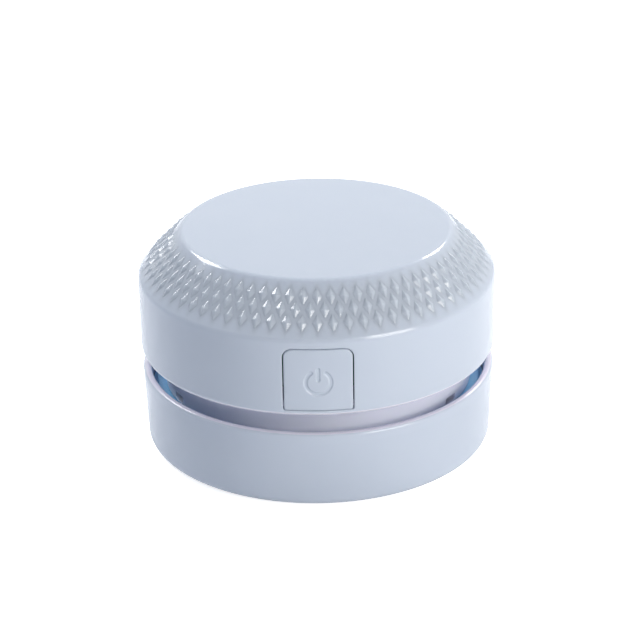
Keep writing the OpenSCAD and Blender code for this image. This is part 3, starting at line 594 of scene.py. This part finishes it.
def knurled(tree, given):
    """Rows of diamonds round the bevel, every second row turned by half a step, joined to the shell."""
    total = calc(tree, "MULTIPLY", given["Count"], given["Rows"])
    points = add(tree, "GeometryNodePoints", inputs={"Count": total}).outputs[0]
    index = add(tree, "GeometryNodeInputIndex").outputs[0]
    row = calc(tree, "FLOOR", calc(tree, "DIVIDE", index, given["Count"]))
    column = calc(tree, "MODULO", index, given["Count"])
    shift = calc(tree, "MULTIPLY", calc(tree, "MODULO", row, 2.0), 0.5)
    turn = calc(tree, "DIVIDE", calc(tree, "ADD", column, shift), given["Count"])
    angle = calc(tree, "MULTIPLY", turn, 2 * math.pi)
    down = calc(tree, "MULTIPLY", calc(tree, "ADD", given["Start"], calc(tree, "MULTIPLY", row, given["Pitch"])),
                math.sqrt(0.5))
    radius = calc(tree, "ADD", given["Top radius"], down)
    place = add(tree, "ShaderNodeCombineXYZ", inputs={
        0: calc(tree, "MULTIPLY", radius, calc(tree, "COSINE", angle)),
        1: calc(tree, "MULTIPLY", radius, calc(tree, "SINE", angle)),
        2: calc(tree, "SUBTRACT", given["Top height"], down)})
    tilt = add(tree, "ShaderNodeCombineXYZ", inputs={1: math.pi / 4, 2: angle})
    placed = add(tree, "GeometryNodeSetPosition", inputs={"Geometry": points, "Position": place.outputs[0]})
    shape = add(tree, "GeometryNodeObjectInfo", inputs={"Object": given["Diamond"]})
    turned_to = add(tree, "FunctionNodeEulerToRotation", inputs={0: tilt.outputs[0]})
    copies = add(tree, "GeometryNodeInstanceOnPoints", inputs={
        "Points": placed.outputs[0], "Instance": shape.outputs["Geometry"], "Rotation": turned_to.outputs[0]})
    real = add(tree, "GeometryNodeRealizeInstances", inputs={0: copies.outputs[0]})
    joined = add(tree, "GeometryNodeJoinGeometry", inputs={0: given["Geometry"]})
    tree.links.new(real.outputs[0], joined.inputs[0])
    return add(tree, "GeometryNodeSetMaterial", inputs={
        "Geometry": joined.outputs[0], "Material": FINISHES["housing_abs"]}).outputs[0]


def make_shell():
    """The head's shell: lip, wall with two openings, knurled bevel and flat top."""
    half = math.tan(math.radians(22.5))
    wall_low = lip_z + lip_r / 3
    wall_high = window_low + window_h + 0.6
    inner_corner = corner_z - shell_t * half
    inner_top_r = body_r - bevel_h - shell_t * math.sqrt(2) + top_t
    surface = Surface()
    start = math.degrees(math.asin((wall_low - lip_z - lip_r) / lip_r))
    turned(surface, [(shell_in_r, wall_low), (shell_in_r, lip_z + 0.15), (shell_in_r + 0.15, lip_z)]
           + arc(body_r - lip_r, lip_z + lip_r, lip_r, -90, start, 8), FINE)
    turned(surface, [(body_r, z) for z in line(wall_high, corner_z - shoulder_r * half, 3)]
           + arc(body_r - shoulder_r, corner_z - shoulder_r * half, shoulder_r, 0, 45, 8)
           + arc(body_r - bevel_h - top_r * half, top_z - top_r, top_r, 45, 90, 10)
           + [(r, top_z) for r in (20.0, 8.0, 0.0)], FINE)
    turned(surface, [(shell_in_r, wall_high), (shell_in_r, inner_corner), (inner_top_r, top_z - top_t),
                     (0.0, top_z - top_t)], FINE)
    heights = line(wall_low, wall_high, 34)
    wall(surface, FINE, heights, shell_outside, shell_in_r,
         [(FRONT, window_span / 2, window_outline, 0.18), (BACK, socket_span / 2, socket_outline, 0.3)])
    made = surface.piece("head_shell", "housing_abs", 34)
    helper = diamond()
    grown(made, "knurl", {
        "Count": knurl_count, "Rows": knurl_rows, "Start": knurl_start * MM, "Pitch": knurl_pitch * MM,
        "Top radius": (body_r - bevel_h) * MM, "Top height": top_z * MM, "Diamond": helper}, knurled)
    bpy.data.objects.remove(helper)
    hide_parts("top_shell")
    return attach(made, "head")


def groove(x, z):
    """How deep the power symbol is cut at a point of the button's face: round sides, flat bottom."""
    side = abs(x)
    up = z - symbol_z
    middle_r = symbol_r - symbol_w / 2
    end = math.radians(symbol_gap)
    if math.atan2(side, up) > end:
        to_ring = abs(math.hypot(side, up) - middle_r)
    else:
        to_ring = math.hypot(side - middle_r * math.sin(end), up - middle_r * math.cos(end))
    to_bar = math.hypot(side, up - min(max(up, bar_low), bar_high - symbol_w / 2))
    share = min(to_ring, to_bar) / (symbol_w / 2)
    wall_share = min(max((1 - share) / symbol_slope, 0.0), 1.0)
    return symbol_depth * wall_share * wall_share * (3 - 2 * wall_share)


def make_button():
    """The power button: a piece of the wall with rounded edges and the power symbol cut into it."""
    low = window_low + button_gap / 2
    high = window_low + window_h - button_gap
    centre = (0.0, symbol_z)
    fine_r = bar_high + 0.4
    back_r = body_r - button_t

    def outline(grow):
        return rounded_box(window_w / 2 - button_gap, low, high, window_r - button_gap, button_edge + 0.05, grow)

    turns = [2 * math.pi * i / 240 for i in range(240)]
    rays = [(math.cos(t) + centre[0], math.sin(t) + centre[1]) for t in turns]
    face = [leave(outline(-button_edge), centre, p) for p in rays]
    surface = Surface()
    rows = []
    for s in line(0, fine_r, 46):
        row = [(s * (x - centre[0]), centre[1] + s * (z - centre[1])) for x, z in rays]
        rows.append([wall_point(FRONT, x, z, body_r - groove(x, z)) for x, z in row])
    for s in line(0, 1, 8)[1:]:
        near = [(fine_r * (x - centre[0]), centre[1] + fine_r * (z - centre[1])) for x, z in rays]
        rows.append([wall_point(FRONT, a[0] + (b[0] - a[0]) * s, a[1] + (b[1] - a[1]) * s, body_r)
                     for a, b in zip(near, face)])
    for t in (22.5, 45, 67.5, 90):
        turn = math.radians(t)
        ring = [leave(outline(-button_edge * (1 - math.sin(turn))), centre, p) for p in rays]
        sunk = button_edge * (1 - math.cos(turn))
        rows.append([wall_point(FRONT, x, z, body_r - sunk) for x, z in ring])
    side = [leave(outline(0), centre, p) for p in rays]
    rows.append([wall_point(FRONT, x, z, back_r) for x, z in side])
    rows.append([wall_point(FRONT, 0.0, centre[1], back_r) for x, z in side])
    surface.sheet(rows)
    # Stem behind the face, down to the switch
    stem = arc(0, window_low + window_h / 2, stem_r, 0, 360, 24)[:-1]
    stem_start = back_r + 0.5
    stem_end = shell_in_r - stem_l
    surface.sheet([[(x, -y, z) for x, z in stem] for y in (stem_start, stem_end)])
    surface.cap([(x, -stem_end, z) for x, z in stem])
    surface.cap([(x, -stem_start, z) for x, z in reversed(stem)])
    made = surface.piece("power_button_face", "housing_abs", 40)
    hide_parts("power_button")
    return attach(made, "button")


def make_neck():
    """Neck, deck and plug in one moulding, with outlet slots round the back and windows over the lugs."""
    edge = 0.3
    wall_low = neck_step_z + 0.5
    wall_high = deck_z - 0.6
    in_r = neck_r - neck_t
    surface = Surface()
    turned(surface, [(in_r, wall_low), (in_r, neck_step_z)] + arc(neck_r - edge, neck_step_z + edge, edge, -90, 0, 3)
           + [(neck_r, wall_low)], FINER)
    turned(surface, [(neck_r, wall_high)] + arc(neck_r + edge, deck_z - edge, edge, 180, 90, 3), FINER)
    turned(surface, [(neck_r + edge, deck_z), (shell_in_r - move_gap, deck_z), (shell_in_r - move_gap, deck_top),
                     (deck_hole_r, deck_top), (deck_hole_r, deck_z), (in_r, deck_z), (in_r, wall_high)], FINER)

    def slot(grow):
        return rounded_box(slot_w / 2, neck_step_z + slot_rise, deck_z - slot_drop, 0.5, 0.5, grow)

    def lug_window(grow):
        low = neck_step_z + lug_window_low
        high = neck_step_z + lug_window_high
        return rounded_box(lug_window_w / 2, low, high, 0.4, 0.4, grow)

    slots = [BACK + slot_step * (i - (slot_count - 1) / 2) for i in range(slot_count)]
    openings = [(middle, slot_step / 2, slot, slot_edge) for middle in slots]
    openings += [(lug_middle + turn, lug_window_span / 2, lug_window, slot_edge) for turn in (360, 240)]
    wall(surface, FINER, line(wall_low, wall_high, 22), lambda z: neck_r, in_r, openings)
    plug_in_r = plug_r - neck_t
    turned(surface, [(plug_in_r, neck_low.z + 0.3), (plug_in_r + 0.3, neck_low.z), (plug_r - 0.3, neck_low.z),
                     (plug_r, neck_low.z + 0.3), (plug_r, neck_step_z + 0.1), (in_r + 0.3, neck_step_z + 0.1),
                     (in_r + 0.3, neck_step_z + 0.6), (plug_in_r, neck_step_z + 0.6),
                     (plug_in_r, neck_low.z + 0.3)], FINE)
    lug_z = collar_low.z + 0.1 - move_gap - thread_t
    section = rounded_section(plug_r - 0.5, plug_r + lug_w, lug_z, lug_z + thread_t, 0.15)
    lifted = [(r, z + thread_lead * lug_play / 360) for r, z in section]
    for i in range(lug_count):
        start = lug_middle - lug_arc / 2 + lug_play + 360 / lug_count * i
        swept(surface, lifted, start, start + lug_arc, 12, thread_lead)
    # Pocket for the button's face: the deck's rim is cut straight in front
    pocket_y = -(body_r - button_t - pocket_depth)
    surface.corners = [(x, max(y, pocket_y), z) if abs(x) < pocket_w / 2 and z > deck_z - 0.01 else (x, y, z)
                       for x, y, z in surface.corners]
    made = surface.piece("neck_and_deck", "neck_abs", 38)
    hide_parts("neck_frame")
    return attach(made, "head")


# ---------- seal, collar and cup ----------


def make_seal():
    """Soft ring that the head slides on, with rounded edges."""
    surface = Surface()
    section = rounded_section(plug_r + move_gap, seal_high.x, seal_low.z, seal_high.z, 0.3)
    turned(surface, section + section[:1], FINE)
    made = surface.piece("silicone_seal", "seal_silicone", 40)
    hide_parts("seal_ring")
    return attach(made, "seal")


def make_collar():
    """Sky blue locking collar with three ribs of quick thread inside."""
    in_r = plug_r + lug_w + move_gap
    surface = Surface()
    section = rounded_section(in_r, collar_high.x, collar_low.z, collar_high.z, 0.35)
    turned(surface, section + section[:1], FINE)
    rib_z = collar_low.z + 0.1
    rib = rounded_section(plug_r + move_gap, in_r + 0.5, rib_z, rib_z + thread_t, 0.15)
    for i in range(lug_count):
        start = lug_middle - lug_arc / 2 + 360 / lug_count * i
        swept(surface, rib, start, start + rib_arc, 14, thread_lead)
    made = surface.piece("twist_lock_collar", "collar_abs", 38)
    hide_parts("lock_collar")
    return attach(made, "cup")


def make_cup():
    """Dust cup: drafted wall with a rounded rim and foot, ledge for the collar, floor with the brush's groove."""
    rim_edge = cup_t * 0.45
    foot_in_r = foot_r - foot_ring_w
    low_in_r = cup_in_r - 1.0
    ledge = collar_low.z
    inside_r = low_in_r - 0.3
    hole_r = duct_r + duct_t + 0.1
    bed_in_r = brush_at - brush_w / 2 - 0.1
    bed_out_r = brush_at + brush_w / 2 + 0.1
    bed_z = floor_z + brush_sunk
    surface = Surface()
    outline = ([(hole_r, floor_z), (bed_in_r, floor_z), (bed_in_r, bed_z), (bed_out_r, bed_z), (bed_out_r, floor_z),
                (foot_in_r - 0.6, floor_z)]
               + arc(foot_in_r - 0.6, floor_z - 0.6, 0.6, 90, 0, 4)
               + arc(foot_in_r + 0.3, cup_z + 0.3, 0.3, 180, 270, 3)
               + arc(foot_r - cup_r, cup_z + cup_r, cup_r, -90, 0, 10)
               + [(foot_r + cup_draft * s, cup_z + cup_r + (rim_z - rim_edge - cup_z - cup_r) * s)
                  for s in line(0, 1, 8)[1:-1]]
               + arc(rim_r - rim_edge, rim_z - rim_edge, rim_edge, 0, 90, 6)
               + arc(cup_in_r + rim_edge, rim_z - rim_edge, rim_edge, 90, 180, 6)
               + [(cup_in_r, ledge), (low_in_r, ledge), (inside_r, floor_top + inner_edge)]
               + arc(inside_r - inner_edge, floor_top + inner_edge, inner_edge, 0, -90, 5)
               + [(hole_r, floor_top), (hole_r, floor_z)])
    turned(surface, outline, FINE)
    made = surface.piece("cup_moulding", "housing_abs", 38)
    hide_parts("dust_cup")
    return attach(made, "cup")


def make_duct():
    """Suction duct with a rounded mouth and the flange that its screws go through."""
    low, high = box_mm("inlet_duct")
    flange_r = high.x
    surface = Surface()
    outline = (arc(duct_r + 0.6, low.z + 0.6, 0.6, 180, 270, 5) + arc(flange_r - 0.4, low.z + 0.4, 0.4, -90, 0, 4)
               + [(flange_r, floor_z), (duct_r + duct_t, floor_z), (duct_r + duct_t, high.z - 0.3)]
               + arc(duct_r + duct_t / 2, high.z - duct_t / 2, duct_t / 2, 0, 180, 8)
               + [(duct_r, low.z + 0.6)])
    turned(surface, outline, FINE)
    made = surface.piece("suction_duct", "inner_abs", 38)
    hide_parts("inlet_duct")
    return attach(made, "cup")


def make_feet():
    """Four curved rubber feet."""
    low, high = box_mm("foot_pads")
    mid = foot_r - cup_r - foot_pad_w / 2 - 0.5
    section = rounded_section(mid - foot_pad_w / 2, mid + foot_pad_w / 2, low.z, high.z, 0.25)
    surface = Surface()
    for i in range(foot_count):
        middle = 45 + 360 / foot_count * i
        swept(surface, section, middle - foot_arc / 2, middle + foot_arc / 2, 26)
    made = surface.piece("rubber_feet", "foot_rubber", 50)
    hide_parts("foot_pads")
    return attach(made, "cup")


def bristles(tree, given):
    """Hairs in round tufts along the strips, each leaning a little its own way, joined to the strips' backs."""
    hairs = calc(tree, "MULTIPLY", calc(tree, "MULTIPLY", given["Strips"], given["Tufts"]), given["Hairs"])
    points = add(tree, "GeometryNodePoints", inputs={"Count": hairs}).outputs[0]
    index = add(tree, "GeometryNodeInputIndex").outputs[0]
    tuft = calc(tree, "FLOOR", calc(tree, "DIVIDE", index, given["Hairs"]))
    strip = calc(tree, "FLOOR", calc(tree, "DIVIDE", tuft, given["Tufts"]))
    within = calc(tree, "MODULO", tuft, given["Tufts"])
    share = calc(tree, "SUBTRACT", calc(tree, "DIVIDE", calc(tree, "ADD", within, 0.5), given["Tufts"]), 0.5)
    angle = calc(tree, "ADD", calc(tree, "MULTIPLY", share, math.radians(strip_arc)),
                 calc(tree, "DIVIDE", calc(tree, "MULTIPLY", strip, 2 * math.pi), given["Strips"]))
    side = calc(tree, "SUBTRACT", calc(tree, "MULTIPLY", calc(tree, "MODULO", within, 2.0), 2.0), 1.0)
    at = calc(tree, "ADD", given["Radius"], calc(tree, "MULTIPLY", side, given["Stagger"]))
    spread = add(tree, "FunctionNodeRandomValue", {"data_type": "FLOAT"}, {"Seed": 3})
    swing = add(tree, "FunctionNodeRandomValue", {"data_type": "FLOAT"}, {"Seed": 5})
    out = calc(tree, "MULTIPLY", calc(tree, "SQRT", spread.outputs[1]), given["Tuft radius"])
    way = calc(tree, "MULTIPLY", swing.outputs[1], 2 * math.pi)
    x = calc(tree, "ADD", calc(tree, "MULTIPLY", at, calc(tree, "COSINE", angle)),
             calc(tree, "MULTIPLY", out, calc(tree, "COSINE", way)))
    y = calc(tree, "ADD", calc(tree, "MULTIPLY", at, calc(tree, "SINE", angle)),
             calc(tree, "MULTIPLY", out, calc(tree, "SINE", way)))
    place = add(tree, "ShaderNodeCombineXYZ", inputs={0: x, 1: y, 2: given["Height"]})
    placed = add(tree, "GeometryNodeSetPosition", inputs={"Geometry": points, "Position": place.outputs[0]})
    lean = add(tree, "FunctionNodeRandomValue", {"data_type": "FLOAT_VECTOR"}, {
        0: (-hair_lean, -hair_lean, 0.0), 1: (hair_lean, hair_lean, 0.0), "Seed": 7})
    turned_to = add(tree, "FunctionNodeEulerToRotation", inputs={0: lean.outputs[0]})
    hair = add(tree, "GeometryNodeMeshCone", inputs={
        "Vertices": 5, "Radius Top": hair_root_r * MM, "Radius Bottom": hair_tip_r * MM, "Depth": given["Length"]})
    copies = add(tree, "GeometryNodeInstanceOnPoints", inputs={
        "Points": placed.outputs[0], "Instance": hair.outputs["Mesh"], "Rotation": turned_to.outputs[0]})
    real = add(tree, "GeometryNodeRealizeInstances", inputs={0: copies.outputs[0]})
    joined = add(tree, "GeometryNodeJoinGeometry", inputs={0: given["Geometry"]})
    tree.links.new(real.outputs[0], joined.inputs[0])
    return add(tree, "GeometryNodeSetMaterial", inputs={
        "Geometry": joined.outputs[0], "Material": FINISHES["brush_nylon"]}).outputs[0]


def make_brush():
    """Four bristle strips round the inlet."""
    low, high = box_mm("brush_ring")
    section = rounded_section(brush_at - brush_w / 2, brush_at + brush_w / 2, floor_z - brush_sunk, high.z, 0.2)
    surface = Surface()
    for i in range(strip_count):
        middle = 360 / strip_count * i
        swept(surface, section, middle - strip_arc / 2, middle + strip_arc / 2, 42)
    made = surface.piece("bristle_strips", "brush_nylon", 45)
    hair_l = floor_z - 0.5 - low.z
    grown(made, "bristles", {
        "Strips": strip_count, "Tufts": tuft_count, "Hairs": hair_count, "Radius": brush_at * MM,
        "Stagger": tuft_stagger * MM, "Tuft radius": tuft_r * MM, "Height": low.z * MM, "Length": hair_l * MM},
        bristles)
    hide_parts("brush_ring")
    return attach(made, "cup")


# ---------- inside pieces keep their CAD shapes ----------


def finish_nodes():
    """Gives every CAD node the finish of its material slot."""
    for row in frame["record"]["subparts"]:
        mesh = frame["nodes"][row["node"]].data
        mesh.materials.clear()
        mesh.materials.append(FINISHES[row["material_slot"]])


# ---------- floor, light and camera ----------

# The view of the photograph: the camera looks down at the middle of the object from the front, a little askew.
# Angles in degrees, lens in millimetres
AIM = Vector((0.61, 0.0, 28.6)) * MM
CAMERA_TILT = 24.47
CAMERA_ROLL = -0.94
CAMERA_FAR = 510 * MM
CAMERA_LENS = 118.9


def sees_background(tree):
    """1 where the camera, a mirror or glass looks at the backdrop, and 0 for the light that falls on things."""
    path = add(tree, "ShaderNodeLightPath").outputs
    return calc(tree, "MAXIMUM", path["Is Camera Ray"],
                calc(tree, "MAXIMUM", path["Is Glossy Ray"], path["Is Transmission Ray"]))


def make_world():
    """White behind the object and in its gloss; on the object itself only a dim, cool fill."""
    world = bpy.data.worlds.new("studio")
    world.use_nodes = True
    tree = world.node_tree
    tree.nodes.clear()
    fill = add(tree, "ShaderNodeBackground", inputs={"Color": colour("#CBDCFA"), "Strength": 0.27})
    white = add(tree, "ShaderNodeBackground", inputs={"Color": colour("#FFFFFF"), "Strength": 1.0})
    mix = add(tree, "ShaderNodeMixShader", inputs={0: sees_background(tree), 1: fill.outputs[0], 2: white.outputs[0]})
    add(tree, "ShaderNodeOutputWorld", inputs={"Surface": mix.outputs[0]})
    bpy.context.scene.world = world


def make_floor():
    """A pale table that runs into the white background and keeps the object's shadow. Its own glow is only seen,
    by the camera and a little in gloss, and lights nothing."""
    made = bpy.data.materials.new("pale_table")
    made.use_nodes = True
    tree = made.node_tree
    tree.nodes.clear()
    matt = add(tree, "ShaderNodeBsdfDiffuse", inputs={"Color": colour("#F4F5F7")})
    path = add(tree, "ShaderNodeLightPath")
    shown = calc(tree, "MULTIPLY", path.outputs["Is Camera Ray"], 0.8)
    mirrored = calc(tree, "MULTIPLY", path.outputs["Is Glossy Ray"], 0.33)
    glow = add(tree, "ShaderNodeEmission", inputs={
        "Color": colour("#FFFFFF"), "Strength": calc(tree, "ADD", shown, mirrored)})
    both = add(tree, "ShaderNodeAddShader", inputs={0: matt.outputs[0], 1: glow.outputs[0]})
    add(tree, "ShaderNodeOutputMaterial", inputs={"Surface": both.outputs[0]})
    mesh = bpy.data.meshes.new("table_top")
    half = 2.5
    mesh.from_pydata([(-half, -half, 0), (half, -half, 0), (half, half, 0), (-half, half, 0)], [], [(0, 1, 2, 3)])
    mesh.materials.append(made)
    table = bpy.data.objects.new("table_top", mesh)
    bpy.context.scene.collection.objects.link(table)


def around(azimuth, elevation, distance):
    """A place round the object: azimuth 0 is in front, 90 to the right; metres."""
    a = math.radians(azimuth)
    e = math.radians(elevation)
    return AIM + distance * Vector((math.sin(a) * math.cos(e), -math.cos(a) * math.cos(e), math.sin(e)))


def softbox(name, azimuth, elevation, distance, width, height, power, tint="#FFFFFF"):
    """A soft rectangular lamp that faces the object."""
    lamp = bpy.data.lights.new(name, "AREA")
    lamp.shape = "RECTANGLE"
    lamp.size = width
    lamp.size_y = height
    lamp.energy = power
    lamp.color = colour(tint)[:3]
    made = bpy.data.objects.new(name, lamp)
    made.location = around(azimuth, elevation, distance)
    made.rotation_euler = (AIM - made.location).to_track_quat("-Z", "Y").to_euler()
    bpy.context.scene.collection.objects.link(made)


def make_lights():
    """Three softboxes. Each is its azimuth, elevation, distance, width, height and power."""
    # Glints on the knurl's left side, and the streak on the top's left edge
    softbox("rear_left_softbox", 230, 42, 0.7, 0.36, 0.18, 2.9)
    # The streak on the top's right edge
    softbox("rear_right_softbox", 142, 37, 0.7, 0.20, 0.14, 2.0)
    # The main light: bright right side, shaded left side
    softbox("right_softbox", 45, 22, 0.7, 0.34, 0.36, 3.0, "#FFFBF5")


def make_camera():
    """The camera of the photograph."""
    lens = bpy.data.cameras.new("photo_view")
    lens.sensor_width = 36
    lens.lens = CAMERA_LENS
    lens.clip_start = 0.01
    lens.clip_end = 20
    camera = bpy.data.objects.new("photo_view", lens)
    camera.location = around(0, CAMERA_TILT, CAMERA_FAR)
    look = (AIM - camera.location).to_track_quat("-Z", "Y")
    camera.rotation_euler = (look @ Quaternion((0, 0, 1), math.radians(CAMERA_ROLL))).to_euler()
    bpy.context.scene.collection.objects.link(camera)
    bpy.context.scene.camera = camera


# ---------- the whole scene ----------

bpy.context.scene.view_settings.view_transform = "Standard"
make_camera()
make_world()
make_floor()
make_lights()
finish_nodes()
make_shell()
make_button()
make_neck()
make_seal()
make_collar()
make_cup()
make_duct()
make_feet()
make_brush()
